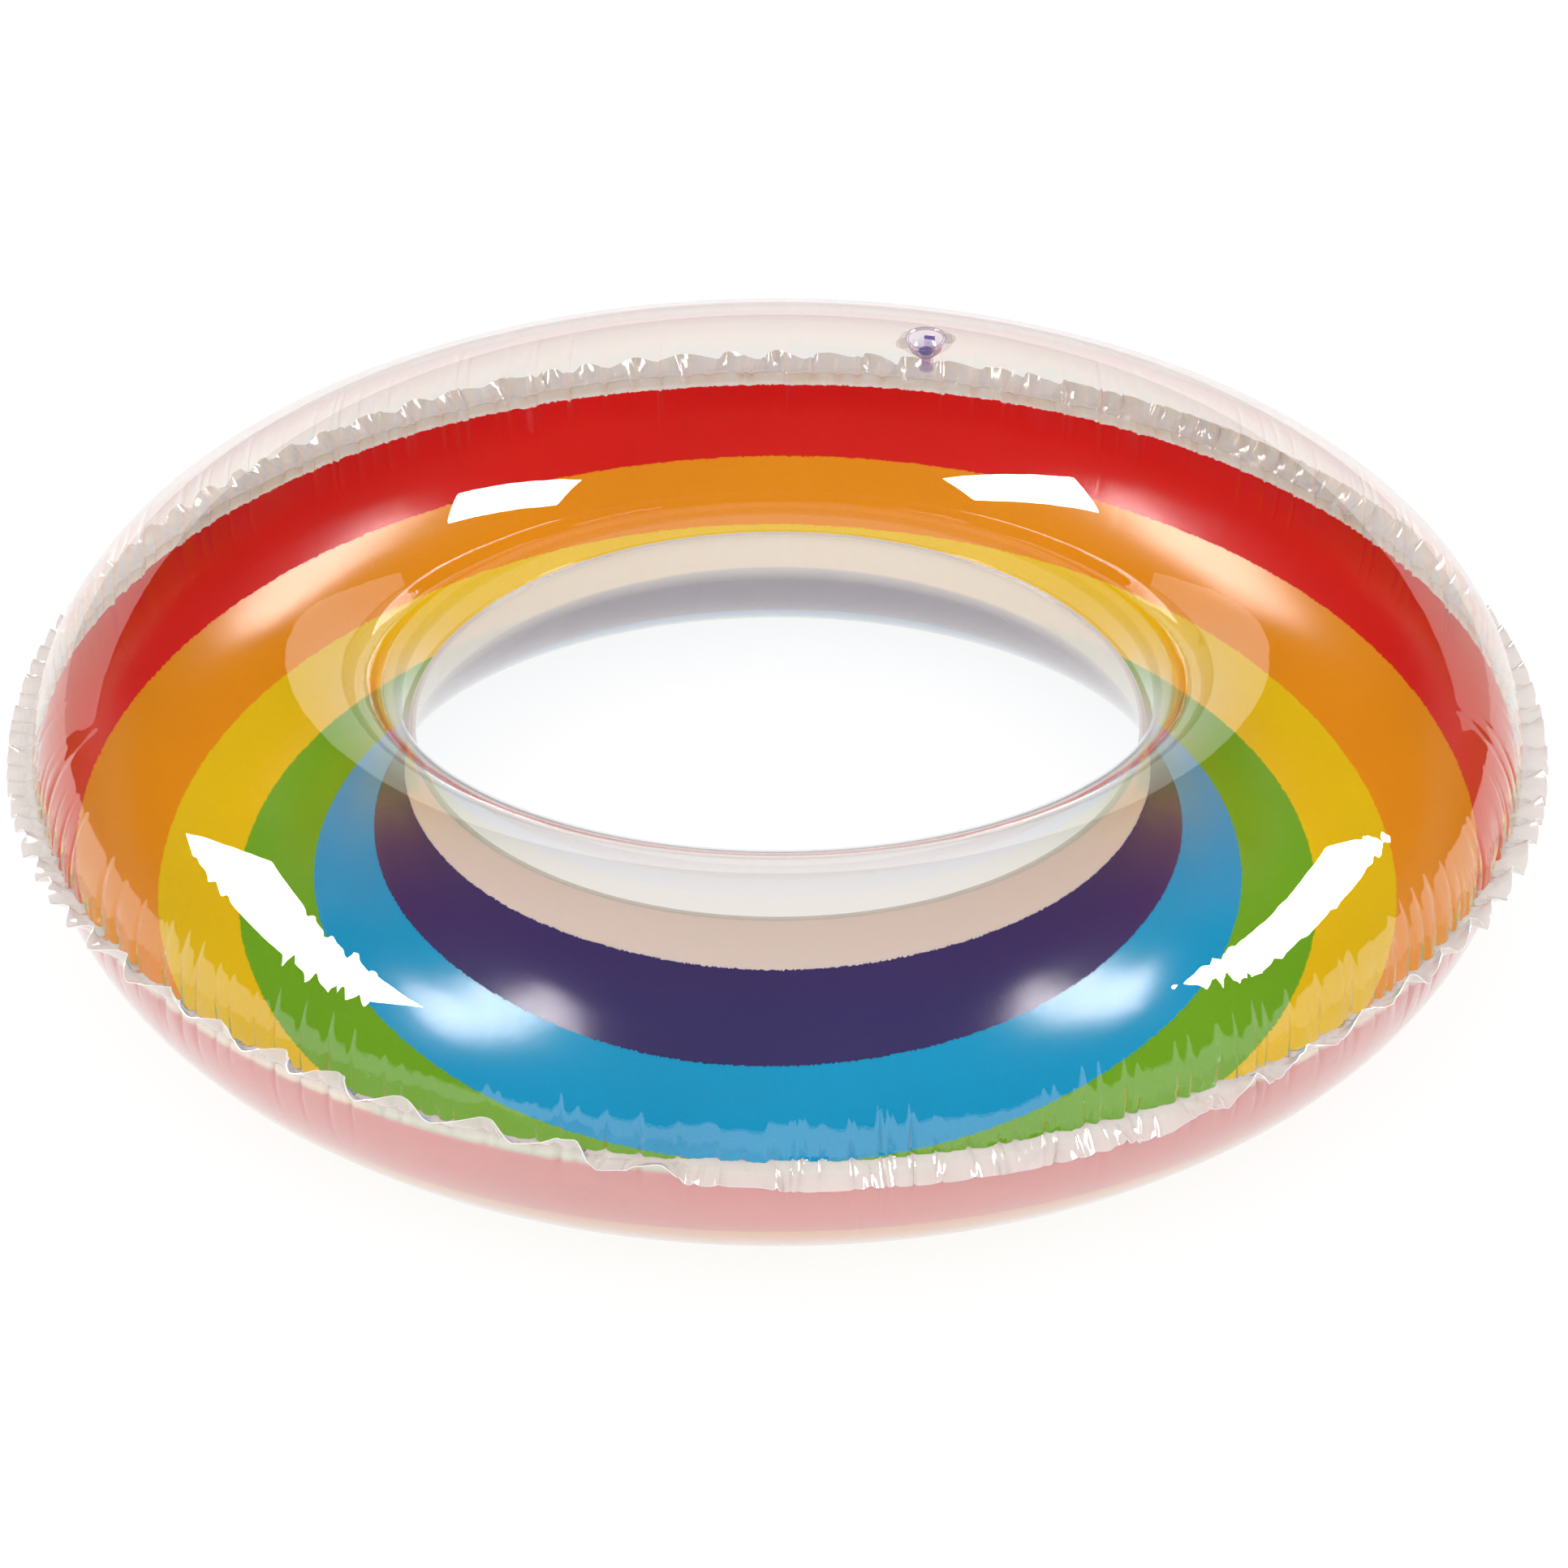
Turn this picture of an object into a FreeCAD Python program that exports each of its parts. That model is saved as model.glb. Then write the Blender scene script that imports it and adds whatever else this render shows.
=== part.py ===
import FreeCAD, Part
import math
import os
import Sketcher

# Inflatable swim ring: a clear top film and a printed bottom film, welded together
# round the hole and round the outside, with an inflation valve let into the top film.
# Z is up and the axis of the ring. The origin is on the floor, at the ring's centre.

doc = FreeCAD.newDocument("swim_ring")

# Driving dimensions, in millimetres and degrees.
sizes = [
    ("weld_radius", 350.0),      # outer weld line, inflated
    ("tube_width", 176.0),       # from the inner weld to the outer weld
    ("crown_height", 76.7),      # top of the ring above the weld plane
    ("contact_width", 12.0),     # flat the ring makes where it lies on the floor
    ("top_gauge", 0.3),          # film thicknesses
    ("bottom_gauge", 0.3),
    ("outer_flange", 11.5),      # film left outside the outer weld
    ("inner_flange", 3.0),       # film left inside the inner weld
    ("ink_gauge", 0.1),          # printed layer
    ("print_start", 15.3),       # angle round the tube from the inner weld to the first colour
    ("print_band", 26.7),        # angle that each colour covers
    ("valve_azimuth", 72.5),     # from +X towards +Y
    ("valve_tilt", 6.5),         # how far the valve leans in towards the hole
    ("valve_hole", 9.7),         # radius of the hole in the top film
    ("valve_flange", 14.0),      # radius of the welded foot
    ("foot_gauge", 0.5),         # thickness of the welded foot
    ("lug_gauge", 1.1),          # thickness of the two finger lugs
    ("lug_radius", 4.2),
    ("lug_offset", 11.0),        # lug centre from the valve axis
    ("web_gauge", 0.5),          # wall of the rolling cone
    ("web_depth", 8.2),          # how far the cone takes the stem down
    ("web_clearance", 0.1),      # cone to foot and cone to stem
    ("stem_radius", 3.7),
    ("stem_length", 8.4),        # below the collar
    ("collar_radius", 4.6),
    ("collar_height", 1.2),
    ("stem_bore", 2.3),
    ("plug_clearance", 0.06),    # radial, plug shank to bore
    ("plug_seat_gap", 0.1),      # plug head to collar
    ("plug_shank", 6.4),         # length of shank in the bore
    ("plug_head", 3.1),          # radius of the head
    ("plug_head_height", 1.5),
    ("tab_width", 5.4),
    ("tab_height", 4.6),
    ("tab_gauge", 0.9),
    ("tab_azimuth", 52.0),       # from the valve's own X
    ("strap_width", 2.2),
    ("strap_gauge", 0.5),
    ("strap_clearance", 0.1),
    ("flap_radius", 3.5),
    ("flap_gauge", 0.5),
    ("flap_gap", 0.1),           # flap to the end of the stem
]
colours = ["violet", "blue", "green", "yellow", "orange", "red"]

dims = doc.addObject("Spreadsheet::Sheet", "dims")
size = {}
for row, (alias, value) in enumerate(sizes, start=1):
    dims.set("A%d" % row, alias)
    dims.set("B%d" % row, str(value))
    dims.setAlias("B%d" % row, alias)
    size[alias] = value
doc.recompute()

# Values that follow from the sheet, and the same as expressions for the sketches.
halfWidth = size["tube_width"] / 2
tubeCentre = size["weld_radius"] - halfWidth
weldHeight = math.sqrt(halfWidth ** 2 - (size["contact_width"] / 2) ** 2)
ovalDiagonal = math.hypot(halfWidth, size["crown_height"])
flattening = halfWidth - size["crown_height"]
sideRadius = ovalDiagonal * (ovalDiagonal - flattening) / (2 * halfWidth)
crownRadius = ovalDiagonal * (ovalDiagonal + flattening) / (2 * size["crown_height"])

halfWidthText = "(dims.tube_width / 2)"
tubeCentreText = "(dims.weld_radius - dims.tube_width / 2)"
weldHeightText = "sqrt(%s ^ 2 - (dims.contact_width / 2) ^ 2)" % halfWidthText
diagonalText = "sqrt(%s ^ 2 + dims.crown_height ^ 2)" % halfWidthText
flatteningText = "(%s - dims.crown_height)" % halfWidthText
sideRadiusText = "(%s * (%s - %s) / dims.tube_width)" % (diagonalText, diagonalText, flatteningText)
crownRadiusText = "(%s * (%s + %s) / (2 * dims.crown_height))" % (
    diagonalText, diagonalText, flatteningText)

# The valve's own frame: its origin on the outside of the top film, its Z square to the film.
ringPlacement = "create(<<placement>>; create(<<vector>>; 0; 0; %s); create(<<rotation>>; 0; 0; 0))"
ringPlacement = ringPlacement % weldHeightText
valveReach = "(%s - %s * sin(dims.valve_tilt * 1 deg))" % (tubeCentreText, crownRadiusText)
valveRise = "(%s + dims.crown_height - %s * (1 - cos(dims.valve_tilt * 1 deg)))" % (
    weldHeightText, crownRadiusText)
azimuthCos = "cos(dims.valve_azimuth * 1 deg)"
azimuthSin = "sin(dims.valve_azimuth * 1 deg)"
valvePlacement = (
    "create(<<placement>>; create(<<vector>>; %s * %s; %s * %s; %s); "
    "create(<<rotation>>; create(<<vector>>; %s; -%s; 0); dims.valve_tilt))"
) % (valveReach, azimuthCos, valveReach, azimuthSin, valveRise, azimuthSin, azimuthCos)


def newBody(label, placement):
    body = doc.addObject("PartDesign::Body", label)
    body.Label = label
    body.setExpression("Placement", placement)
    return body


def newSketch(body, name, plane="XZ_Plane"):
    sketch = body.newObject("Sketcher::SketchObject", name)
    for feature in body.Origin.OriginFeatures:
        if feature.Role == plane:
            sketch.AttachmentSupport = [(feature, "")]
    sketch.MapMode = "FlatFace"
    return sketch


def bind(sketch, name, constraint, expression):
    """Add one driving constraint and tie it to the sheet."""
    index = sketch.addConstraint(constraint)
    sketch.renameConstraint(index, name)
    sketch.setExpression("Constraints." + name, expression)


def revolve(body, sketch, name):
    feature = body.newObject("PartDesign::Revolution", name)
    feature.Profile = sketch
    feature.ReferenceAxis = (sketch, ["V_Axis"])
    feature.Angle = 360
    sketch.Visibility = False
    return feature


def outline(sketch, corners, prefix="p"):
    """A closed outline of straight lines, each corner at a pair of expressions."""
    count = len(corners)
    start = sketch.GeometryCount
    for index in range(count):
        here = 2 * math.pi * index / count
        after = 2 * math.pi * (index + 1) / count
        sketch.addGeometry(Part.LineSegment(
            FreeCAD.Vector(20 + 5 * math.cos(here), 5 * math.sin(here), 0),
            FreeCAD.Vector(20 + 5 * math.cos(after), 5 * math.sin(after), 0)), False)
    for index in range(count):
        after = start + (index + 1) % count
        sketch.addConstraint(Sketcher.Constraint("Coincident", start + index, 2, after, 1))
    for index, (across, up) in enumerate(corners):
        line = start + index
        bind(sketch, "%sx%d" % (prefix, index), Sketcher.Constraint("DistanceX", line, 1, 20), across)
        bind(sketch, "%sy%d" % (prefix, index), Sketcher.Constraint("DistanceY", line, 1, 5), up)


def turned(label, placement, corners):
    """A piece turned about its own Z from an outline of straight lines."""
    body = newBody(label, placement)
    sketch = newSketch(body, label + "_profile")
    outline(sketch, corners)
    revolve(body, sketch, label + "_turned")
    return body


def arcEdge(centre, radius, first, last):
    """An arc about centre, between two angles in degrees, anticlockwise."""
    circle = Part.Circle(FreeCAD.Vector(centre[0], centre[1], 0), FreeCAD.Vector(0, 0, 1), radius)
    return Part.ArcOfCircle(circle, math.radians(first), math.radians(last))


def ovalBand(body, name, inside, outside, insideText, outsideText):
    """The upper half of the tube, between two distances inside its oval outline."""
    sketch = newSketch(body, name)
    spread = math.degrees(math.acos((halfWidth - sideRadius) / (crownRadius - sideRadius)))
    sideOffset = halfWidth - sideRadius
    crownCentre = size["crown_height"] - crownRadius
    for depth in (outside, inside):
        sketch.addGeometry(
            arcEdge((tubeCentre + sideOffset, 0), sideRadius - depth, 0, spread), False)
        sketch.addGeometry(
            arcEdge((tubeCentre, crownCentre), crownRadius - depth, spread, 180 - spread), False)
        sketch.addGeometry(
            arcEdge((tubeCentre - sideOffset, 0), sideRadius - depth, 180 - spread, 180), False)
    for first, depth, text, label in ((0, outside, outsideText, "out"), (3, inside, insideText, "in")):
        sketch.addConstraint(Sketcher.Constraint("Tangent", first, 2, first + 1, 1))
        sketch.addConstraint(Sketcher.Constraint("Tangent", first + 1, 2, first + 2, 1))
        for arc in (first, first + 2):
            sketch.addConstraint(Sketcher.Constraint("PointOnObject", arc, 3, -1))
        sketch.addConstraint(Sketcher.Constraint("PointOnObject", first, 1, -1))
        sketch.addConstraint(Sketcher.Constraint("PointOnObject", first + 2, 2, -1))
        bind(sketch, label + "_crown",
             Sketcher.Constraint("DistanceX", first + 1, 3, tubeCentre), tubeCentreText)
        bind(sketch, label + "_edge",
             Sketcher.Constraint("DistanceX", first, 1, size["weld_radius"] - depth),
             "dims.weld_radius - (%s)" % text)
        bind(sketch, label + "_side",
             Sketcher.Constraint("Radius", first, sideRadius - depth),
             "%s - (%s)" % (sideRadiusText, text))
        bind(sketch, label + "_top",
             Sketcher.Constraint("Radius", first + 1, crownRadius - depth),
             "%s - (%s)" % (crownRadiusText, text))
        sketch.addConstraint(Sketcher.Constraint("Equal", first, first + 2))
    for end, point in ((0, 1), (2, 2)):
        start = sketch.getPoint(end, point)
        finish = sketch.getPoint(end + 3, point)
        line = sketch.addGeometry(Part.LineSegment(start, finish), False)
        sketch.addConstraint(Sketcher.Constraint("Coincident", line, 1, end, point))
        sketch.addConstraint(Sketcher.Constraint("Coincident", line, 2, end + 3, point))
    revolve(body, sketch, name + "_turned")


def endPoint(sketch, arc, point, radius, angle, radiusText, angleText, label):
    """Hold one end of an arc at its angle round the tube, by whichever distance is well set."""
    name = "%s_end%d" % (label, point)
    turn = math.radians(angle)
    if angle in (0, 180):
        sketch.addConstraint(Sketcher.Constraint("PointOnObject", arc, point, -1))
    elif abs(math.cos(turn)) > 0.7:
        bind(sketch, name, Sketcher.Constraint("DistanceY", arc, point, -radius * math.sin(turn)),
             "-%s * sin((%s) * 1 deg)" % (radiusText, angleText))
    else:
        bind(sketch, name,
             Sketcher.Constraint("DistanceX", arc, point, tubeCentre - radius * math.cos(turn)),
             "%s - %s * cos((%s) * 1 deg)" % (tubeCentreText, radiusText, angleText))


def lowerBand(body, name, first, last, outside, inside, firstText, lastText, outsideText, insideText):
    """Part of the lower half of the tube, between two distances inside its outline.

    The angles run round the tube from the inner weld. Where the part crosses the
    contact flat, both of its faces run straight across it.
    """
    sketch = newSketch(body, name)
    sides = []
    edges = 0
    for depth, text, label in ((outside, outsideText, "out"), (inside, insideText, "in")):
        radius = halfWidth - depth
        drop = weldHeight - depth
        flat = math.degrees(math.asin(drop / radius))
        spans = [(first, last)]
        if first < flat and last > 180 - flat:
            spans = [(first, flat), (180 - flat, last)]
        arcs = []
        for start, finish in spans:
            sketch.addGeometry(arcEdge((tubeCentre, 0), radius, 180 + start, 180 + finish), False)
            arcs.append(edges)
            edges += 1
        for arc in arcs:
            tag = "%s%d_" % (label, arc)
            bind(sketch, tag + "centre",
                 Sketcher.Constraint("DistanceX", arc, 3, tubeCentre), tubeCentreText)
            sketch.addConstraint(Sketcher.Constraint("PointOnObject", arc, 3, -1))
            bind(sketch, tag + "radius", Sketcher.Constraint("Radius", arc, radius),
                 "%s - (%s)" % (halfWidthText, text))
        if len(arcs) == 2:
            line = sketch.addGeometry(Part.LineSegment(
                sketch.getPoint(arcs[0], 2), sketch.getPoint(arcs[1], 1)), False)
            edges += 1
            sketch.addConstraint(Sketcher.Constraint("Coincident", line, 1, arcs[0], 2))
            sketch.addConstraint(Sketcher.Constraint("Coincident", line, 2, arcs[1], 1))
            sketch.addConstraint(Sketcher.Constraint("Horizontal", line))
            bind(sketch, label + "_flat", Sketcher.Constraint("DistanceY", line, 1, -drop),
                 "-(%s - (%s))" % (weldHeightText, text))
        sides.append(arcs)
    for index, angle, text in ((0, first, firstText), (-1, last, lastText)):
        point = 1 if index == 0 else 2
        outer = sides[0][index]
        inner = sides[1][index]
        line = sketch.addGeometry(Part.LineSegment(
            sketch.getPoint(outer, point), sketch.getPoint(inner, point)), False)
        sketch.addConstraint(Sketcher.Constraint("Coincident", line, 1, outer, point))
        sketch.addConstraint(Sketcher.Constraint("Coincident", line, 2, inner, point))
        for arc, depth, depthText, label in (
                (outer, outside, outsideText, "out"), (inner, inside, insideText, "in")):
            endPoint(sketch, arc, point, halfWidth - depth, angle,
                     "(%s - (%s))" % (halfWidthText, depthText), text, label)
    revolve(body, sketch, name + "_turned")


def flangeRing(body, name, inner, outer, low, high):
    """A flat ring of film on the weld plane."""
    sketch = newSketch(body, name)
    outline(sketch, [(inner, low), (outer, low), (outer, high), (inner, high)])
    revolve(body, sketch, name + "_turned")


def makeTopSheet():
    body = newBody("top_film", ringPlacement)
    ovalBand(body, "top_outline", size["top_gauge"], 0, "dims.top_gauge", "0")
    flangeRing(body, "top_outer_flange", "dims.weld_radius - dims.top_gauge / 2",
               "dims.weld_radius + dims.outer_flange", "0", "dims.top_gauge")
    flangeRing(body, "top_inner_flange", "dims.weld_radius - dims.tube_width - dims.inner_flange",
               "dims.weld_radius - dims.tube_width + dims.top_gauge / 2", "0", "dims.top_gauge")
    opening = doc.addObject("Part::Cylinder", "valve_opening")
    opening.setExpression("Radius", "dims.valve_hole")
    opening.Height = 20
    opening.setExpression("Placement", valvePlacement + " * create(<<placement>>; "
                          "create(<<vector>>; 0; 0; -10); create(<<rotation>>; 0; 0; 0))")
    sheet = doc.addObject("Part::Cut", "top_sheet")
    sheet.Base = body
    sheet.Tool = opening
    return sheet


def makeBottomSheet():
    body = newBody("bottom_sheet", ringPlacement)
    lowerBand(body, "bottom_outline", 0, 180, 0, size["bottom_gauge"], "0", "180", "0", "dims.bottom_gauge")
    flangeRing(body, "bottom_outer_flange", "dims.weld_radius - dims.bottom_gauge / 2",
               "dims.weld_radius + dims.outer_flange", "-dims.bottom_gauge", "0")
    flangeRing(body, "bottom_inner_flange", "dims.weld_radius - dims.tube_width - dims.inner_flange",
               "dims.weld_radius - dims.tube_width + dims.bottom_gauge / 2", "-dims.bottom_gauge", "0")
    return body


def makePrint(index, colour):
    """One colour of the print, on the inside of the bottom film."""
    first = size["print_start"] + index * size["print_band"]
    last = first + size["print_band"]
    firstText = "dims.print_start + %d * dims.print_band" % index
    lastText = "dims.print_start + %d * dims.print_band" % (index + 1)
    body = newBody("print_" + colour, ringPlacement)
    lowerBand(body, colour + "_outline", first, last,
              size["bottom_gauge"], size["bottom_gauge"] + size["ink_gauge"],
              firstText, lastText, "dims.bottom_gauge", "dims.bottom_gauge + dims.ink_gauge")
    return body


def valveCylinder(name, radiusText, offsetText, heightText="30", baseText="-15"):
    cylinder = doc.addObject("Part::Cylinder", name)
    cylinder.setExpression("Radius", radiusText)
    cylinder.setExpression("Height", heightText)
    cylinder.setExpression("Placement", valvePlacement + " * create(<<placement>>; create(<<vector>>; "
                           + offsetText + "; 0; " + baseText + "); create(<<rotation>>; 0; 0; 0))")
    return cylinder


def combine(kind, name, base, tool):
    feature = doc.addObject("Part::" + kind, name)
    feature.Base = base
    feature.Tool = tool
    return feature


def makeValveFoot():
    """The welded foot, a ring that follows the film, with a finger lug on each side."""
    thin = newBody("foot_layer", ringPlacement)
    ovalBand(thin, "foot_outline", 0, -size["foot_gauge"], "0", "-dims.foot_gauge")
    thick = newBody("lug_layer", ringPlacement)
    ovalBand(thick, "lug_outline", 0, -size["lug_gauge"], "0", "-dims.lug_gauge")
    opening = valveCylinder("foot_opening", "dims.valve_hole", "0")
    ring = combine("Cut", "foot_ring", valveCylinder("foot_disc", "dims.valve_flange", "0"), opening)
    lugs = combine("Fuse", "lug_pair",
                   valveCylinder("lug_left", "dims.lug_radius", "-dims.lug_offset"),
                   valveCylinder("lug_right", "dims.lug_radius", "dims.lug_offset"))
    lugRing = combine("Common", "lug_plan", lugs, ring)
    foot = combine("Common", "foot_plate", thin, ring)
    pads = combine("Common", "lug_pads", thick, lugRing)
    return combine("Fuse", "valve_foot", foot, pads)


def makeValveWeb():
    """The thin cone that joins the foot to the stem, and rolls inside out."""
    rim = "dims.valve_hole - dims.web_clearance"
    neck = "dims.collar_radius + dims.web_clearance"
    return turned("valve_web", valvePlacement, [
        (rim, "0"),
        (rim, "-dims.web_gauge"),
        (neck + " + dims.web_gauge", "-dims.web_depth - dims.collar_height"),
        (neck, "-dims.web_depth - dims.collar_height"),
        (neck, "-dims.web_depth"),
        (rim + " - dims.web_gauge", "0"),
    ])


def makeValveStem():
    """The tube that is blown into, with a collar at its outer end."""
    top = "-dims.web_depth"
    shoulder = "-dims.web_depth - dims.collar_height"
    end = shoulder + " - dims.stem_length"
    return turned("valve_stem", valvePlacement, [
        ("dims.stem_bore", top),
        ("dims.stem_bore", end),
        ("dims.stem_radius", end),
        ("dims.stem_radius", shoulder),
        ("dims.collar_radius", shoulder),
        ("dims.collar_radius", top),
    ])


def makePlug():
    """A stepped plug with a finger tab that stands up from its head."""
    seat = "-dims.web_depth + dims.plug_seat_gap"
    head = seat + " + dims.plug_head_height"
    shank = "dims.stem_bore - dims.plug_clearance"
    body = turned("plug_body", valvePlacement, [
        ("0", head),
        ("0", seat + " - dims.plug_shank"),
        (shank + " - 0.5", seat + " - dims.plug_shank"),
        (shank, seat + " - dims.plug_shank + 1"),
        (shank, seat),
        ("dims.plug_head", seat),
        ("dims.plug_head", head),
    ])
    tab = doc.addObject("Part::Box", "plug_tab")
    tab.setExpression("Length", "dims.tab_gauge")
    tab.setExpression("Width", "dims.tab_width")
    tab.setExpression("Height", "dims.tab_height + dims.plug_head_height")
    tab.setExpression("Placement", valvePlacement + " * create(<<placement>>; create(<<vector>>; 0; 0; "
                      + seat + "); create(<<rotation>>; dims.tab_azimuth; 0; 0)) * create(<<placement>>; "
                      "create(<<vector>>; dims.plug_head - 2 * dims.tab_gauge; -dims.tab_width / 2; "
                      "dims.plug_head_height / 2); create(<<rotation>>; 0; 0; 0))")
    return combine("Fuse", "plug", body, tab)


def makePlugStrap():
    """The narrow strap that keeps the plug on the stem: an arch from collar to head."""
    body = newBody("plug_strap", valvePlacement)
    sketch = newSketch(body, "strap_profile")
    near = "dims.plug_head + dims.strap_clearance"
    far = near + " + dims.strap_gauge"
    foot = "-dims.web_depth + dims.strap_clearance"
    top = "-dims.web_depth + dims.plug_seat_gap + dims.plug_head_height + dims.strap_clearance"
    outline(sketch, [
        ("-(%s)" % near, foot),
        ("-(%s)" % near, top),
        ("-dims.plug_head / 2", top),
        ("-dims.plug_head / 2", top + " + dims.strap_gauge"),
        ("-(%s)" % far, top + " + dims.strap_gauge"),
        ("-(%s)" % far, foot),
    ])
    pad = body.newObject("PartDesign::Pad", "strap_pad")
    pad.Profile = sketch
    pad.setExpression("Length", "dims.strap_width")
    pad.Midplane = True
    sketch.Visibility = False
    return body


def makeCheckFlap():
    """The non-return flap that closes the inner end of the stem."""
    face = "-dims.web_depth - dims.collar_height - dims.stem_length - dims.flap_gap"
    return turned("check_flap", valvePlacement, [
        ("0", face),
        ("0", face + " - dims.flap_gauge"),
        ("dims.flap_radius", face + " - dims.flap_gauge"),
        ("dims.flap_radius", face),
    ])


pieces = [makeTopSheet(), makeBottomSheet()]
for index, colour in enumerate(colours):
    pieces.append(makePrint(index, colour))
pieces += [makeValveFoot(), makeValveWeb(), makeValveStem(), makePlug(), makePlugStrap(), makeCheckFlap()]
doc.recompute()

for item in doc.Objects:
    if "Invalid" in item.State or "Error" in item.State:
        raise RuntimeError("%s failed: %s" % (item.Label, item.State))
for piece in pieces:
    if piece.Shape.isNull() or not piece.Shape.isValid():
        raise RuntimeError("%s has no valid shape" % piece.Label)

os.makedirs("parts", exist_ok=True)
for piece in pieces:
    piece.Shape.exportStep(os.path.join("parts", piece.Label + ".step"))
    print("%-14s %12.2f mm3, %d solid" % (piece.Label, piece.Shape.Volume, len(piece.Shape.Solids)))
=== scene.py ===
import math

import bmesh
import bpy
import numpy as np
from mathutils import Matrix, Vector


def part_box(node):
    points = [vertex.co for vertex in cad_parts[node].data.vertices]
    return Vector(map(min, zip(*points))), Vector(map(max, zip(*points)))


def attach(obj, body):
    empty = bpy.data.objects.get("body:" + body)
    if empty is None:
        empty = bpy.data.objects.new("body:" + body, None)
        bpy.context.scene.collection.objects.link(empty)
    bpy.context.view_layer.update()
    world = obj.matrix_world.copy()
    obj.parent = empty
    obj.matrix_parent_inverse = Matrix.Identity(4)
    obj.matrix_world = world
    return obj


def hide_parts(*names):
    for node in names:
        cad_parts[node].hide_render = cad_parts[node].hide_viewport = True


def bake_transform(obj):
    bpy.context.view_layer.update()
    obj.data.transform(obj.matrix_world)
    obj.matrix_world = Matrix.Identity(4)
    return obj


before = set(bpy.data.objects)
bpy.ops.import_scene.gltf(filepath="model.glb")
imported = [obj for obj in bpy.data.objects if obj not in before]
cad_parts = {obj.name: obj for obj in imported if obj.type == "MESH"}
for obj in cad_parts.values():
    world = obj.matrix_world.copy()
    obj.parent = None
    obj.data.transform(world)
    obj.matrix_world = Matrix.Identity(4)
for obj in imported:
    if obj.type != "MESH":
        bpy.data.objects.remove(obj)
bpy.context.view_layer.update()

print("frame loaded")

scene = bpy.context.scene
mm = 0.001

# The ring's own sizes, read from the frame where it holds them.
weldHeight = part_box("bottom_sheet")[1].z
tube = {
    "weldHeight": weldHeight,
    "crownHeight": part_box("top_sheet")[1].z - weldHeight,
    "tipRadius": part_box("bottom_sheet")[1].x,
    "outerFlange": 11.5 * mm,
    "width": 176 * mm,
    "innerFlange": 3 * mm,
    "gauge": 0.3 * mm,
    "inkGauge": 0.1 * mm,
}
tube["weldRadius"] = tube["tipRadius"] - tube["outerFlange"]
tube["innerRadius"] = tube["weldRadius"] - tube["width"]
tube["centre"] = (tube["weldRadius"] + tube["innerRadius"]) / 2
tube["half"] = tube["width"] / 2

studio = {
    "elevation": 31.77,      # camera above the horizon, degrees
    "distance": 2.164,
    "lens": 104.9,
    "sensor": 36,
    "shiftX": 0.0041,
    "shiftY": -0.0451,
    "floorColour": 0.16,
    "floorGlow": 0.87,       # keeps the shadows pale
    "floorFront": -0.77,     # the table edge that the tube mirrors
    "floorSide": 4.5,
    "floorBack": 3.6,
    "backdropTop": 1.5,      # a duller card behind the table, for the film to mirror
    "backdropColour": 0.30,
    "backdropGlow": 0.34,
    "domeLight": 1.0,        # even light from all round, which the gloss doesn't mirror
    "keyLight": 1.0,         # and a broad lamp above the front
    "keyAngle": 70,
    "keyTurn": (40, 0, -12),
    "bounces": 14,
    "clearBounces": 48,      # enough for the light to pass every face of the films
    "softboxGlow": 34.0,
    "softboxes": {
        "softboxLeft": {"place": (-2.18, -0.31, 1.63), "turn": (51.2, 18.9, -88.2), "size": (2.25, 0.74)},
        "softboxRight": {"place": (3.72, -0.02, 2.43), "turn": (51.8, -17.5, 80.5), "size": (3.20, 1.18)},
    },
}


def makeCamera():
    data = bpy.data.cameras.new("camera")
    data.sensor_width = studio["sensor"]
    data.lens = studio["lens"]
    data.shift_x = studio["shiftX"]
    data.shift_y = studio["shiftY"]
    camera = bpy.data.objects.new("camera", data)
    scene.collection.objects.link(camera)
    lift = math.radians(studio["elevation"])
    back = Vector((0, -math.cos(lift), math.sin(lift)))
    camera.location = Vector((0, 0, weldHeight)) + back * studio["distance"]
    camera.rotation_euler = (-back).to_track_quat("-Z", "Y").to_euler()
    scene.camera = camera


def paintedBoard(name, corners):
    mesh = bpy.data.meshes.new(name)
    mesh.from_pydata(corners, [], [(0, 1, 2, 3)])
    board = bpy.data.objects.new(name, mesh)
    scene.collection.objects.link(board)
    material = bpy.data.materials.new(name + "Paint")
    material.use_nodes = True
    shader = material.node_tree.nodes["Principled BSDF"]
    shader.inputs["Base Color"].default_value = (*[studio[name + "Colour"]] * 3, 1)
    shader.inputs["Roughness"].default_value = 0.9
    shader.inputs["Specular IOR Level"].default_value = 0.0
    shader.inputs["Emission Color"].default_value = (1, 1, 1, 1)
    shader.inputs["Emission Strength"].default_value = studio[name + "Glow"]
    mesh.materials.append(material)
    return board


def makeFloor():
    front, side, back = (studio[key] for key in ("floorFront", "floorSide", "floorBack"))
    top = studio["backdropTop"]
    far = [(-side, back, 0), (side, back, 0)]
    paintedBoard("floor", [(-side, front, 0), (side, front, 0), *reversed(far)])
    behind = paintedBoard("backdrop", [*far, (side, back, top), (-side, back, top)])
    behind.visible_camera = False


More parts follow.
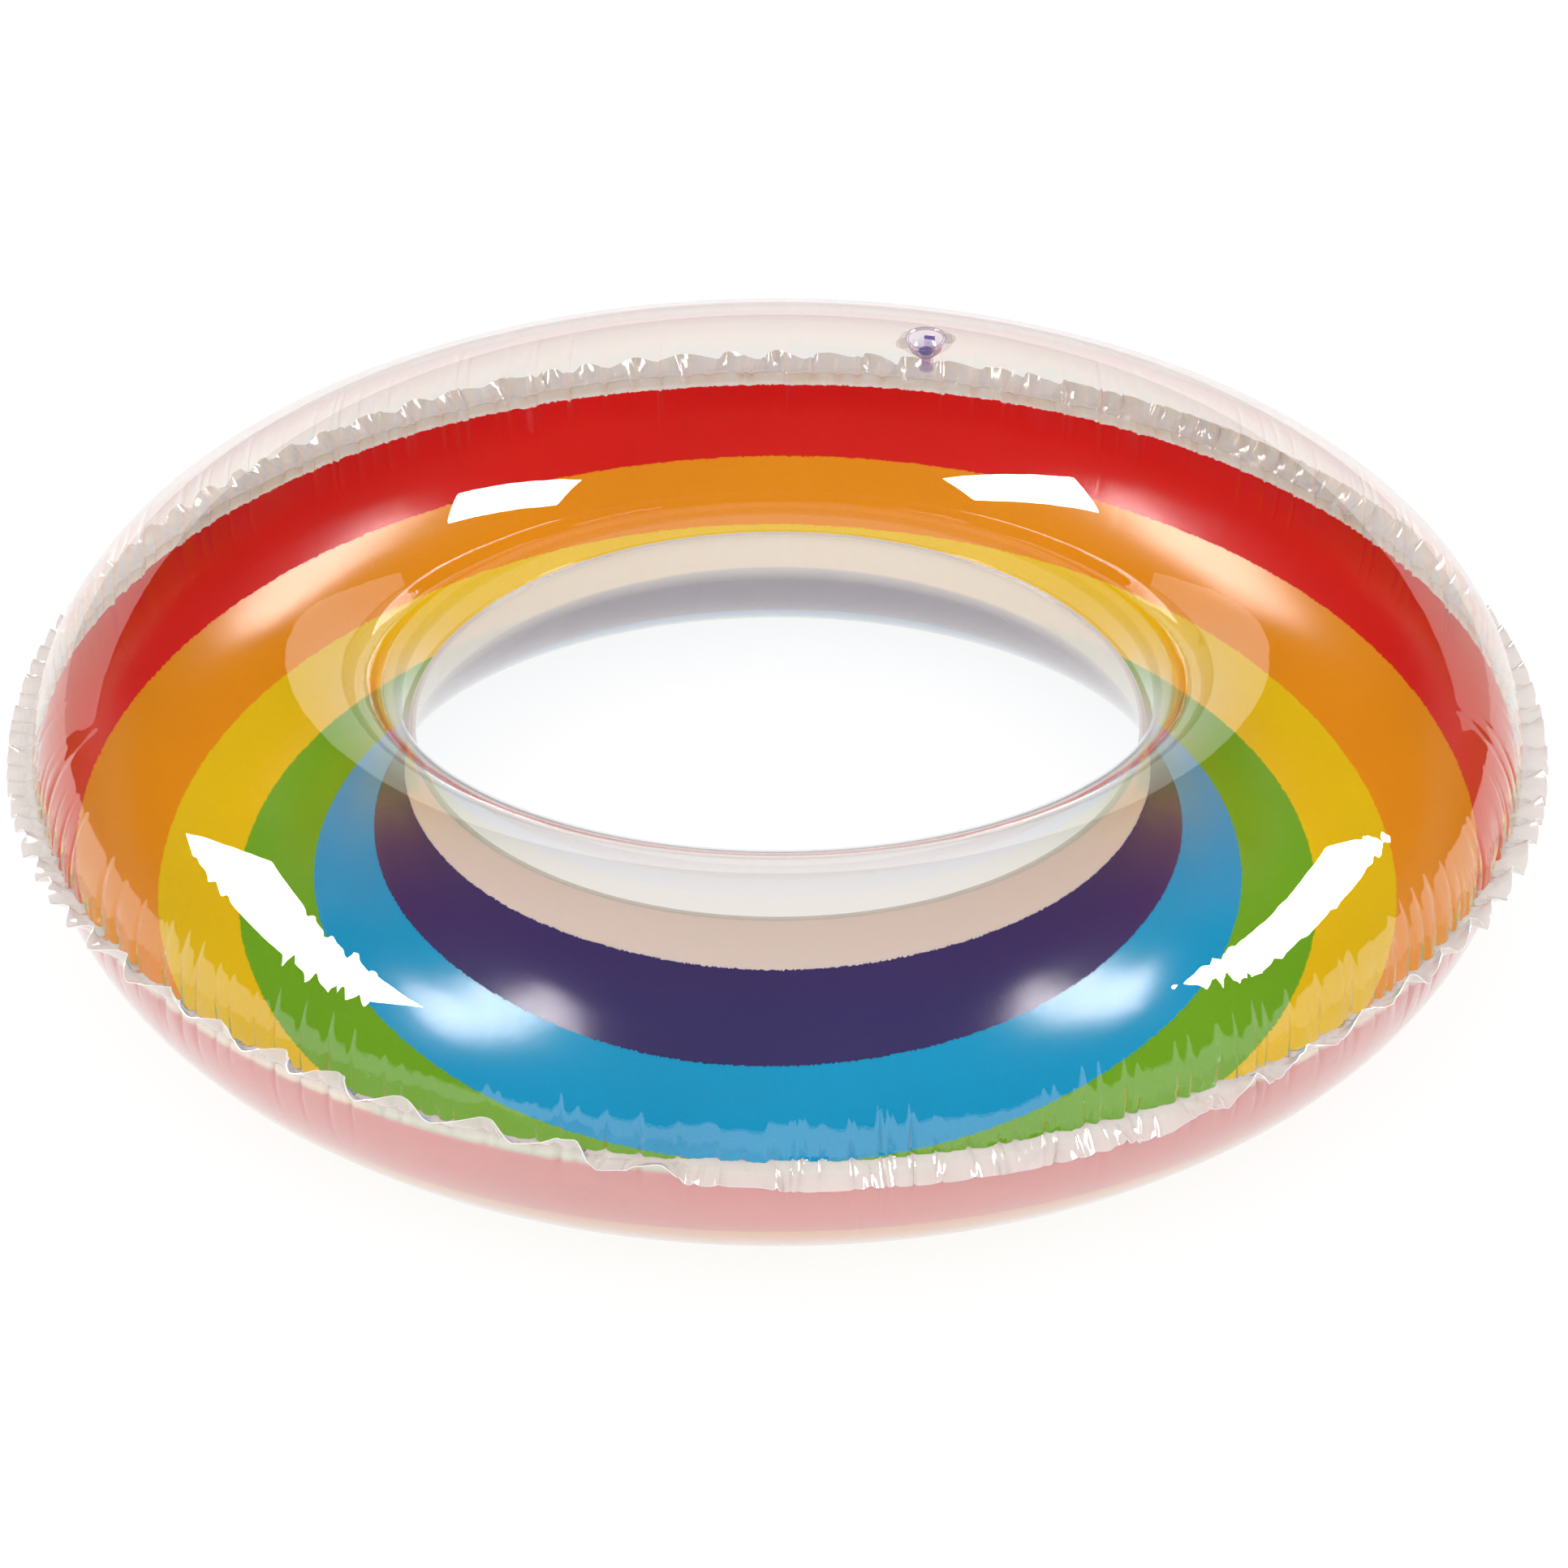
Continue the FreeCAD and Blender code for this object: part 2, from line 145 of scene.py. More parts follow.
def makeLights():
    world = bpy.data.worlds.new("studioDome")
    world.use_nodes = True
    world.node_tree.nodes["Background"].inputs["Strength"].default_value = studio["domeLight"]
    world.node_tree.nodes["Background"].inputs["Color"].default_value = (1, 1, 1, 1)
    world.cycles_visibility.glossy = False
    scene.world = world

    data = bpy.data.lights.new("key", "SUN")
    data.energy = studio["keyLight"]
    data.angle = math.radians(studio["keyAngle"])
    key = bpy.data.objects.new("key", data)
    key.rotation_euler = [math.radians(turn) for turn in studio["keyTurn"]]
    key.visible_glossy = False
    scene.collection.objects.link(key)

    for name, box in studio["softboxes"].items():
        width, height = box["size"]
        data = bpy.data.lights.new(name, "AREA")
        data.shape = "RECTANGLE"
        data.size = width
        data.size_y = height
        data.energy = studio["softboxGlow"] * math.pi * width * height
        light = bpy.data.objects.new(name, data)
        light.location = box["place"]
        light.rotation_euler = [math.radians(turn) for turn in box["turn"]]
        light.visible_diffuse = False
        scene.collection.objects.link(light)


makeCamera()
makeFloor()
makeLights()
scene.view_settings.view_transform = "Standard"
scene.cycles.transparent_max_bounces = studio["clearBounces"]
scene.cycles.max_bounces = studio["bounces"]
scene.cycles.caustics_reflective = False
scene.cycles.caustics_refractive = False
print("studio set")


def newMaterial(name):
    material = bpy.data.materials.new(name)
    material.use_nodes = True
    tree = material.node_tree
    tree.nodes.clear()
    output = tree.nodes.new("ShaderNodeOutputMaterial")
    return material, tree, output


def feed(tree, socket, value):
    # Sets an input, or links it when the value is another node's output.
    if isinstance(value, bpy.types.NodeSocket):
        tree.links.new(value, socket)
    else:
        socket.default_value = value


def mathNode(tree, operation, *values):
    node = tree.nodes.new("ShaderNodeMath")
    node.operation = operation
    for socket, value in zip(node.inputs, values):
        feed(tree, socket, value)
    return node.outputs[0]


def dyingAway(tree, value, sharpness):
    # One at nothing, and down towards nothing as the value grows.
    raised = mathNode(tree, "POWER", value, sharpness)
    return mathNode(tree, "EXPONENT", mathNode(tree, "MULTIPLY", raised, -1.0))


def mixShader(tree, share, first, second):
    node = tree.nodes.new("ShaderNodeMixShader")
    feed(tree, node.inputs[0], share)
    tree.links.new(first, node.inputs[1])
    tree.links.new(second, node.inputs[2])
    return node.outputs[0]


def noise(tree, scale, detail, vector):
    node = tree.nodes.new("ShaderNodeTexNoise")
    node.inputs["Scale"].default_value = scale
    node.inputs["Detail"].default_value = detail
    tree.links.new(vector, node.inputs["Vector"])
    return node.outputs["Fac"]


def objectPlace(tree):
    return tree.nodes.new("ShaderNodeTexCoord").outputs["Object"]


def attribute(tree, name):
    node = tree.nodes.new("ShaderNodeAttribute")
    node.attribute_name = name
    return node.outputs["Fac"]


def bump(tree, height, distance, strength=1.0):
    node = tree.nodes.new("ShaderNodeBump")
    node.inputs["Strength"].default_value = strength
    node.inputs["Distance"].default_value = distance
    tree.links.new(height, node.inputs["Height"])
    return node.outputs["Normal"]


filmFace = {
    "faceOn": 0.043,         # what one face mirrors square on
    "puckerRound": 350.0,    # the puckers' stretch round the ring and up the tube
    "puckerUp": 60.0,
    "puckerSize": 0.33,
    "puckerFade": -110.0,    # per metre from the weld
    "slowSize": 22.0,
    "slowShare": 0.12,
    "bump": 1.1 * mm,
    "mottleSize": 60.0,      # the milk is a little uneven
    "mottle": (0.16, 0.92),
}


def filmBump(tree):
    # Fine puckers square to the weld that die away up the tube, over a slow unevenness of the sheet.
    away = attribute(tree, "fromWeld")
    across = tree.nodes.new("ShaderNodeCombineXYZ")
    around = attribute(tree, "around")
    tree.links.new(mathNode(tree, "MULTIPLY", around, filmFace["puckerRound"]), across.inputs["X"])
    tree.links.new(mathNode(tree, "MULTIPLY", away, filmFace["puckerUp"]), across.inputs["Y"])
    pucker = noise(tree, filmFace["puckerSize"], 2.0, across.outputs[0])
    fade = mathNode(tree, "EXPONENT", mathNode(tree, "MULTIPLY", away, filmFace["puckerFade"]))
    uneven = noise(tree, filmFace["slowSize"], 2.0, objectPlace(tree))
    slow = mathNode(tree, "MULTIPLY", uneven, filmFace["slowShare"])
    height = mathNode(tree, "MULTIPLY_ADD", pucker, fade, slow)
    return bump(tree, height, filmFace["bump"])


def filmMaterial(name, tint, milk, milkColour, roughness, puckered=False):
    # One face of a clear sheet: a mirror by the angle, else straight through, clouded by the milk.
    # The milk is a share, or "coat" where the mesh says how milky each point is.
    material, tree, output = newMaterial(name)
    clear = tree.nodes.new("ShaderNodeBsdfTransparent")
    clear.inputs["Color"].default_value = (*tint, 1)
    cloud = tree.nodes.new("ShaderNodeBsdfDiffuse")
    cloud.inputs["Color"].default_value = (*milkColour, 1)
    mirror = tree.nodes.new("ShaderNodeBsdfAnisotropic")
    mirror.inputs["Color"].default_value = (1, 1, 1, 1)
    mirror.inputs["Roughness"].default_value = roughness
    facing = tree.nodes.new("ShaderNodeLayerWeight")
    facing.inputs["Blend"].default_value = 0.5
    if puckered:
        tree.links.new(filmBump(tree), mirror.inputs["Normal"])
    steep = mathNode(tree, "POWER", facing.outputs["Facing"], 5.0)
    share = mathNode(tree, "MULTIPLY_ADD", steep, 1 - filmFace["faceOn"], filmFace["faceOn"])
    if milk == "coat":
        cloudy = noise(tree, filmFace["mottleSize"], 3.0, objectPlace(tree))
        mottle = mathNode(tree, "MULTIPLY_ADD", cloudy, *filmFace["mottle"])
        milk = mathNode(tree, "MULTIPLY", attribute(tree, "coat"), mottle)
    body = mixShader(tree, milk, clear.outputs[0], cloud.outputs[0])
    tree.links.new(mixShader(tree, share, body, mirror.outputs[0]), output.inputs["Surface"])
    return material


inks = {
    "violet": (0.047, 0.042, 0.190),
    "blue": (0.001, 0.400, 0.800),
    "green": (0.175, 0.490, 0.015),
    "yellow": (0.960, 0.640, 0.000),
    "orange": (0.980, 0.330, 0.000),
    "red": (0.800, 0.010, 0.006),
}

inkFace = {
    "roughness": 0.19,
    "gloss": 0.3,
    "grainSize": 1500.0,
    "cloudSize": 7.0,
    "cloudShare": 0.4,
    "thick": (0.32, 0.84, 0),        # where on the ramp, how much of the colour, how much paler
    "thin": (0.68, 1.14, 0.001),
    "grainDepth": 0.1 * mm,
    "grainStrength": 0.25,
}


def inkMaterial(name, colour):
    # Printed ink under the film: an even coat with a fine screen grain and slow changes of density.
    material, tree, output = newMaterial(name)
    shader = tree.nodes.new("ShaderNodeBsdfPrincipled")
    shader.inputs["Roughness"].default_value = inkFace["roughness"]
    shader.inputs["Specular IOR Level"].default_value = inkFace["gloss"]
    place = objectPlace(tree)
    grain = noise(tree, inkFace["grainSize"], 1.0, place)
    slow = noise(tree, inkFace["cloudSize"], 4.0, place)
    cloudy = mathNode(tree, "MULTIPLY", slow, inkFace["cloudShare"])
    both = mathNode(tree, "MULTIPLY_ADD", grain, 1 - inkFace["cloudShare"], cloudy)
    ramp = tree.nodes.new("ShaderNodeValToRGB")
    for stop, side in zip(ramp.color_ramp.elements, ("thick", "thin")):
        stop.position, strength, paler = inkFace[side]
        stop.color = (*[min(1, part * strength + paler) for part in colour], 1)
    tree.links.new(both, ramp.inputs["Fac"])
    tree.links.new(ramp.outputs["Color"], shader.inputs["Base Color"])
    screen = bump(tree, grain, inkFace["grainDepth"], inkFace["grainStrength"])
    tree.links.new(screen, shader.inputs["Normal"])
    tree.links.new(shader.outputs[0], output.inputs["Surface"])
    return material


films = {
    "clear": filmMaterial("clearFilm", (0.990, 0.974, 0.968), 0.002, (0.85, 0.82, 0.80), 0.02, True),
    "milky": filmMaterial("milkyFilm", (0.975, 0.96, 0.95), "coat", (0.90, 0.845, 0.81), 0.08, True),
    "cutEdge": filmMaterial("cutEdge", (0.95, 0.95, 0.95), 0.75, (0.95, 0.94, 0.93), 0.15),
    "foot": filmMaterial("footVinyl", (0.975, 0.97, 0.975), 0.02, (0.80, 0.78, 0.80), 0.04),
    "lug": filmMaterial("lugVinyl", (0.96, 0.945, 0.94), 0.10, (0.78, 0.75, 0.73), 0.08),
    "cup": filmMaterial("cupVinyl", (0.97, 0.96, 0.985), "coat", (0.52, 0.47, 0.76), 0.03),
    "vinyl": filmMaterial("tintedVinyl", (0.93, 0.90, 0.97), 0.05, (0.55, 0.50, 0.76), 0.04),
    "bead": filmMaterial("rimVinyl", (0.90, 0.865, 0.91), 0.06, (0.56, 0.52, 0.64), 0.03),
    "plugVinyl": filmMaterial("plugVinyl", (0.62, 0.56, 0.82), 0.34, (0.20, 0.155, 0.42), 0.08),
}
print("materials made")


# The tube's outline, as arcs from the inner weld: centre, bend, first and last angle, and length.

def topOutline():
    half = tube["half"]
    crown = tube["crownHeight"]
    diagonal = math.hypot(half, crown)
    flat = half - crown
    side = diagonal * (diagonal - flat) / (2 * half)
    top = diagonal * (diagonal + flat) / (2 * crown)
    spread = math.acos((half - side) / (top - side))
    return [
        (tube["centre"] - half + side, 0.0, side, math.pi, math.pi - spread, side * spread),
        (tube["centre"], crown - top, top, math.pi - spread, spread, top * (math.pi - 2 * spread)),
        (tube["centre"] + half - side, 0.0, side, spread, 0.0, side * spread),
    ]


def bottomOutline():
    half = tube["half"]
    return [(tube["centre"], 0.0, half, math.pi, 2 * math.pi, half * math.pi)]


outlines = {"top": topOutline(), "bottom": bottomOutline()}
girth = {side: sum(piece[-1] for piece in pieces) for side, pieces in outlines.items()}


def outlineAt(side, distance):
    # Radius, height above the weld, and the outward normal in the section, for an array of distances.
    distance = np.asarray(distance, float)
    radius = np.zeros_like(distance)
    height = np.zeros_like(distance)
    outX = np.zeros_like(distance)
    outZ = np.zeros_like(distance)
    start = 0.0
    pieces = outlines[side]
    for index, (centreR, centreZ, bend, first, last, length) in enumerate(pieces):
        final = index == len(pieces) - 1
        here = (distance >= start) & ((distance <= start + length + 1e-9) if final
                                      else (distance < start + length))
        angle = first + (last - first) * (distance - start) / length
        radius = np.where(here, centreR + bend * np.cos(angle), radius)
        height = np.where(here, centreZ + bend * np.sin(angle), height)
        outX = np.where(here, np.cos(angle), outX)
        outZ = np.where(here, np.sin(angle), outZ)
        start += length
    return radius, height, outX, outZ


# The crimped seam. The flat film is longer round the outside than the inflated ring,
# so its flange ruffles and the tube next to it pleats.

seam = {
    "seed": 11,
    "course": {              # the flange from place to place round the ring
        # from +X, degrees
        "azimuth": [0, 25, 50, 75, 115, 150, 180, 200, 222, 250, 262, 270, 292, 304, 318, 340, 360],
        # the flange's angle above level
        "fold": [8, 40, 62, 34, 30, 18, 4, 20, 56, 62, 10, -50, -48, 20, 50, 18, 8],
        # from ruffle to ruffle, mm
        "pitch": [19, 15, 13, 26, 26, 18, 13, 18, 32, 36, 34, 50, 42, 28, 26, 19, 19],
        # how far a ruffle turns it, degrees
        "swing": [34, 30, 26, 26, 26, 30, 36, 32, 32, 34, 30, 16, 18, 26, 30, 34, 34],
        # share of the cross creases
        "cross": [0.1, 0.7, 1.0, 0.6, 0.6, 0.3, 0.0, 0.0, 0.0, 0.1, 0.3, 0.8, 0.8, 0.4, 0.1, 0.1, 0.1],
    },
    "kinks": 150,            # sharp cross creases in the flange
    "kinkTurn": 38,          # how far one turns it, degrees
    "kinkWidth": 1.5 * mm,
    "kinkSpread": (0.35, 1.0),
    "kinkPower": 1.2,
    "lean": 0.119,           # how far each ruffle leans over sideways, of its pitch
    "pitchSpread": (0.62, 1.45),
    "crestSpread": (0.45, 1.0),
    "point": 1.6,            # how pointed the crests are
    "foldRise": 2.2,         # how soon past the weld the flange turns to its angle
    "foldShare": 0.92,
    "swingRise": 0.45,
    "weldEase": 4 * mm,      # where the pleats run out on the flange
    "foldDepth": 1.15 * mm,  # pleats that run up the top film from the ruffles
    "foldReach": (9 * mm, 34 * mm),
    "reachSpread": (0.4, 1.0),
    "foldPower": 1.3,
    "troughPoint": 2.4,
    "narrowing": 2.5,
    "bottomShare": 0.55,
}


def course(name, angle):
    stops = [math.radians(place) for place in seam["course"]["azimuth"]]
    return np.interp(np.mod(angle, 2 * math.pi), stops, seam["course"][name])


def ruffleKnots():
    # Irregular crests and troughs round the seam, closer together where the pitch is short.
    dice = np.random.default_rng(seam["seed"])
    angles = []
    angle = 0.0
    while angle < 2 * math.pi:
        angles.append(angle)
        pitch = float(course("pitch", angle)) * mm / tube["weldRadius"]
        angle += pitch / 2 * dice.uniform(*seam["pitchSpread"])
    if len(angles) % 2:
        angles.pop()
    angles = np.array(angles) * (2 * math.pi / (angles[-1] + (angles[1] - angles[0])))
    count = len(angles)
    heights = dice.uniform(*seam["crestSpread"], count) * np.where(np.arange(count) % 2, -1, 1)
    reaches = dice.uniform(*seam["foldReach"], count) * dice.uniform(*seam["reachSpread"], count)
    return angles, heights, reaches


def kinkPlaces():
    dice = np.random.default_rng(seam["seed"] + 40)
    places = np.sort(dice.uniform(0, 2 * math.pi, seam["kinks"]))
    heights = dice.uniform(*seam["kinkSpread"], len(places)) * dice.choice([-1, 1], len(places))
    return places, heights


knotAngles, knotHeights, knotReaches = ruffleKnots()
kinkAngles, kinkHeights = kinkPlaces()


def between(angle, values, sharp=1.0):
    # Smooth from knot to knot round the ring. sharp above 1 makes the knots pointed.
    angle = np.mod(angle, 2 * math.pi)
    places = np.append(knotAngles, knotAngles[0] + 2 * math.pi)
    index = np.clip(np.searchsorted(places, angle, side="right") - 1, 0, len(knotAngles) - 1)
    share = (angle - places[index]) / (places[index + 1] - places[index])
    share = np.clip(share, 0, 1)
    rounded = 0.5 - 0.5 * np.cos(math.pi * share)
    blend = share * (1 - 1 / sharp) + rounded / sharp
    following = np.append(values, values[0])
    return values[index] * (1 - blend) + following[index + 1] * blend


def kinkAt(angle):
    # The nearest kink's height here, falling off sharply to both sides.
    angle = np.mod(angle, 2 * math.pi)
    places = np.concatenate([[kinkAngles[-1] - 2 * math.pi], kinkAngles, [kinkAngles[0] + 2 * math.pi]])
    heights = np.concatenate([[kinkHeights[-1]], kinkHeights, [kinkHeights[0]]])
    index = np.clip(np.searchsorted(places, angle), 1, len(places) - 1)
    before = (angle - places[index - 1]) * tube["weldRadius"] / seam["kinkWidth"]
    beyond = (places[index] - angle) * tube["weldRadius"] / seam["kinkWidth"]
    falls = [np.exp(-reach ** seam["kinkPower"]) for reach in (before, beyond)]
    return heights[index - 1] * falls[0] + heights[index] * falls[1]


def flangeShape(angle, along):
    # A point of the flange, along metres out from the weld: radius, height, sideways turn.
    fold = np.radians(course("fold", angle)) * seam["foldShare"]
    wave = between(angle, knotHeights, seam["point"])
    share = along / tube["outerFlange"]
    kink = math.radians(seam["kinkTurn"]) * kinkAt(angle) * course("cross", angle)
    swing = wave * np.radians(course("swing", angle)) + kink
    # Its slope here and halfway back to the weld, for where the sheet has got to.
    slopes = [fold * np.minimum(1, part * seam["foldRise"]) + swing * np.power(part, seam["swingRise"])
              for part in (share, share / 2)]
    average = sum(slopes) / 2
    radius = tube["weldRadius"] + along * np.cos(average)
    height = along * np.sin(average)
    pitch = course("pitch", angle) * mm / tube["weldRadius"]
    turn = seam["lean"] * pitch * share * between(angle, np.abs(knotHeights)) * np.sign(wave)
    return radius, height, turn * np.abs(wave)


def foldDepth(angle, fromWeld):
    # How far the tube is drawn in beside the weld by the folds of the ruffles.
    trough = between(angle, np.where(knotHeights < 0, 1.0, 0.0), seam["troughPoint"])
    strength = between(angle, np.abs(knotHeights))
    reach = between(angle, knotReaches)
    fade = np.exp(-np.power(fromWeld / reach, seam["foldPower"]))
    narrow = np.power(np.clip(trough, 0, 1), 1 + seam["narrowing"] * fromWeld / reach)
    return seam["foldDepth"] * strength * fade * narrow


def filmPoints(side, angle, distance, inset=0.0):
    # The film's surface, inset metres inside its outer face. Past the outer weld it is the flange.
    distance = np.asarray(distance, float)
    length = girth[side]
    onTube = np.clip(distance, 0, length)
    radius, height, outX, outZ = outlineAt(side, onTube)
    if side == "bottom":
        height = np.maximum(height, -tube["weldHeight"])
    weld = tube["gauge"] / 2 * (1 if side == "top" else -1)
    share = 1.0 if side == "top" else seam["bottomShare"]
    drawn = inset + share * foldDepth(angle, length - onTube)
    radius = radius - outX * drawn
    height = height - outZ * drawn
    turn = np.zeros_like(radius)
    outside = distance > length
    if np.any(outside):
        flangeR, flangeZ, flangeTurn = flangeShape(angle, np.clip(distance - length, 0, None))
        start = share * foldDepth(angle, np.zeros_like(radius))
        fade = np.clip(1 - (distance - length) / seam["weldEase"], 0, 1)
        radius = np.where(outside, flangeR - start * fade, radius)
        height = np.where(outside, flangeZ + weld, height)
        turn = np.where(outside, flangeTurn, turn)
    inner = distance < 0
    radius = np.where(inner, tube["innerRadius"] + distance, radius)
    height = np.where(inner, weld, height)
    around = angle + turn
    return np.stack([radius * np.cos(around), radius * np.sin(around), height + tube["weldHeight"]], -1)


def meshObject(name, points, faces, material, extras=None):
    mesh = bpy.data.meshes.new(name)
    mesh.from_pydata([tuple(point) for point in points], [], faces)
    for label, values in (extras or {}).items():
        layer = mesh.attributes.new(label, "FLOAT", "POINT")
        layer.data.foreach_set("value", np.asarray(values, dtype=np.float32))
    mesh.polygons.foreach_set("use_smooth", [True] * len(mesh.polygons))
    mesh.materials.append(material)
    mesh.update()
    built = bpy.data.objects.new(name, mesh)
    scene.collection.objects.link(built)
    return built


def ringFaces(counts, upward):
    # Faces between closed rings of points, one after another. A ring may have twice as many as the last.
    faces = []
    start = 0
    for here, beyond in zip(counts, counts[1:]):
        after = start + here
        ratio = beyond // here
        for column in range(here):
            following = (column + 1) % here
            low = [start + column, start + following]
            high = [after + (column * ratio + step) % beyond for step in range(ratio + 1)]
            if ratio == 1:
                patch = [[low[0], low[1], high[1], high[0]]]
            else:
                patch = [[low[0], high[1], high[0]], [low[0], low[1], high[1]], [low[1], high[2], high[1]]]
            faces += patch if upward else [face[::-1] for face in patch]
        start = after
    return faces


def soundMesh(built):
    # Doubles merged and every face turned outwards.
    work = bmesh.new()
    work.from_mesh(built.data)
    bmesh.ops.remove_doubles(work, verts=work.verts, dist=1e-7)
    bmesh.ops.recalc_face_normals(work, faces=work.faces)
    work.to_mesh(built.data)
    work.free()
    built.data.set_sharp_from_angle(angle=math.radians(60))
    return built


def applied(built):
    # The object with its modifiers made real.
    graph = bpy.context.evaluated_depsgraph_get()
    mesh = bpy.data.meshes.new_from_object(built.evaluated_get(graph))
    built.modifiers.clear()
    old = built.data
    built.data = mesh
    bpy.data.meshes.remove(old)
    mesh.name = built.name
    mesh.set_sharp_from_angle(angle=math.radians(75))
    return built


def eased(built, width, segments, limit):
    # Its corners rounded off.
    ease = built.modifiers.new("ease", "BEVEL")
    ease.width = width
    ease.segments = segments
    ease.angle_limit = math.radians(limit)
    return applied(built)


def thicken(built, wall, edgeSlot=0):
    solid = built.modifiers.new("wall", "SOLIDIFY")
    solid.thickness = wall
    solid.offset = -1
    solid.use_even_offset = False
    solid.material_offset_rim = edgeSlot


print("outline ready: %d ruffles" % (len(knotAngles) // 2))


# Geometry Nodes: creases square to the weld, drawn into the tube.

creaseForm = {
    "ridge": 1.3,            # how steep the side of a crease is
    "fade": 1.6,             # and how suddenly it ends
    "lengthCrowding": 0.6,
    "lengthSpread": (0.35, 0.68),
}


def creaseTree():
    tree = bpy.data.node_groups.new("creases", "GeometryNodeTree")
    face = tree.interface
    face.new_socket("Geometry", in_out="INPUT", socket_type="NodeSocketGeometry")
    for label, value in (("Crowding", 25.0), ("Width", 0.1), ("Depth", 0.001), ("Shortest", 0.005),
                         ("Longest", 0.03), ("Shift", 0.0)):
        socket = face.new_socket(label, in_out="INPUT", socket_type="NodeSocketFloat")
        socket.default_value = value
    face.new_socket("Film", in_out="INPUT", socket_type="NodeSocketMaterial")
    face.new_socket("Geometry", in_out="OUTPUT", socket_type="NodeSocketGeometry")
    given = tree.nodes.new("NodeGroupInput")

    def field(name):
        node = tree.nodes.new("GeometryNodeInputNamedAttribute")
        node.data_type = "FLOAT"
        node.inputs["Name"].default_value = name
        return node.outputs["Attribute"]

    around = field("around")
    away = field("fromWeld")
    loop = tree.nodes.new("ShaderNodeCombineXYZ")
    tree.links.new(mathNode(tree, "COSINE", around), loop.inputs["X"])
    tree.links.new(mathNode(tree, "SINE", around), loop.inputs["Y"])
    tree.links.new(given.outputs["Shift"], loop.inputs["Z"])

    cells = tree.nodes.new("ShaderNodeTexVoronoi")
    cells.feature = "DISTANCE_TO_EDGE"
    tree.links.new(loop.outputs[0], cells.inputs["Vector"])
    tree.links.new(given.outputs["Crowding"], cells.inputs["Scale"])
    near = mathNode(tree, "DIVIDE", cells.outputs["Distance"], given.outputs["Width"])
    ridge = dyingAway(tree, near, creaseForm["ridge"])

    lengths = tree.nodes.new("ShaderNodeTexNoise")
    lengths.inputs["Detail"].default_value = 1.0
    tree.links.new(loop.outputs[0], lengths.inputs["Vector"])
    crowding = mathNode(tree, "MULTIPLY", given.outputs["Crowding"], creaseForm["lengthCrowding"])
    tree.links.new(crowding, lengths.inputs["Scale"])
    spread = tree.nodes.new("ShaderNodeMapRange")
    for label, value in zip(("From Min", "From Max"), creaseForm["lengthSpread"]):
        spread.inputs[label].default_value = value
    tree.links.new(lengths.outputs["Fac"], spread.inputs["Value"])
    tree.links.new(given.outputs["Shortest"], spread.inputs["To Min"])
    tree.links.new(given.outputs["Longest"], spread.inputs["To Max"])
    reach = mathNode(tree, "DIVIDE", away, spread.outputs["Result"])
    fade = dyingAway(tree, reach, creaseForm["fade"])
    drawn = mathNode(tree, "MULTIPLY", mathNode(tree, "MULTIPLY", ridge, fade), given.outputs["Depth"])

    level = tree.nodes.new("ShaderNodeVectorMath")
    level.operation = "MULTIPLY"
    level.inputs[1].default_value = (1, 1, 0)
    tree.links.new(loop.outputs[0], level.inputs[0])
    inward = tree.nodes.new("ShaderNodeVectorMath")
    inward.operation = "SCALE"
    tree.links.new(level.outputs[0], inward.inputs[0])
    tree.links.new(mathNode(tree, "MULTIPLY", drawn, -1.0), inward.inputs["Scale"])
    move = tree.nodes.new("GeometryNodeSetPosition")
    tree.links.new(given.outputs["Geometry"], move.inputs["Geometry"])
    tree.links.new(inward.outputs[0], move.inputs["Offset"])
    whole = tree.nodes.new("GeometryNodeRealizeInstances")
    tree.links.new(move.outputs[0], whole.inputs[0])
    finish = tree.nodes.new("GeometryNodeSetMaterial")
    tree.links.new(whole.outputs[0], finish.inputs["Geometry"])
    tree.links.new(given.outputs["Film"], finish.inputs["Material"])
    result = tree.nodes.new("NodeGroupOutput")
    tree.links.new(finish.outputs[0], result.inputs[0])
    return tree


creases = creaseTree()


def crease(built, sizes):
    layer = built.modifiers.new("creases", "NODES")
    layer.node_group = creases
    for socket in creases.interface.items_tree:
        if socket.in_out == "INPUT" and socket.name in sizes:
            layer[socket.identifier] = sizes[socket.name]


prints = {
    "start": 15.3,           # degrees round the tube from the inner weld
    "bands": {"violet": 27.5, "blue": 27.7, "green": 26.3, "yellow": 27.0, "orange": 25.2, "red": 26.5},
    # How far the outer edge of each lies off its place at the sides and at the front, mm.
    "atSides": {"violet": -7, "blue": -11, "green": -13, "yellow": -16, "orange": -7, "red": 0},
    "atFront": {"violet": 2, "blue": 7, "green": 4, "yellow": 0, "orange": 0, "red": 0},
    "columns": 2880,
    "rows": 5,
    "lap": 0.22 * mm,        # between the film and the ink
    "tooth": 0.55 * mm,      # ragged edge
    "waves": {3: 0.4 * mm, 7: 0.3 * mm},     # slow ones, by how many there are round the ring
    "seed": 5,
}

film = {
    "columns": 544,          # round the crown; twice as many further out, and four times at the weld
    "bands": [(0.0, 20, 1), (62 * mm, 5, 2), (34 * mm, 8, 4)],   # from the weld, rows, how much finer
    "flangeRows": 6,
    "flangeCrowding": 0.9,
    "innerRows": (1.5 * mm, 0.4 * mm),       # on the flange at the hole
    "folds": {"Crowding": 25.0, "Width": 0.06, "Depth": 2.7 * mm, "Shortest": 6 * mm,
              "Longest": 33 * mm, "Shift": 7.3},
    "puckers": {"Crowding": 70.0, "Width": 0.16, "Depth": 0.9 * mm, "Shortest": 5 * mm,
                "Longest": 15 * mm, "Shift": 0.37},
    "bottomShare": 2.1,      # how much sooner the creases die away under the weld
    "frillShare": 1.5,       # and out along the flange
    "coat": {"frill": 0.50, "margin": 0.58, "printed": 0.21},
}


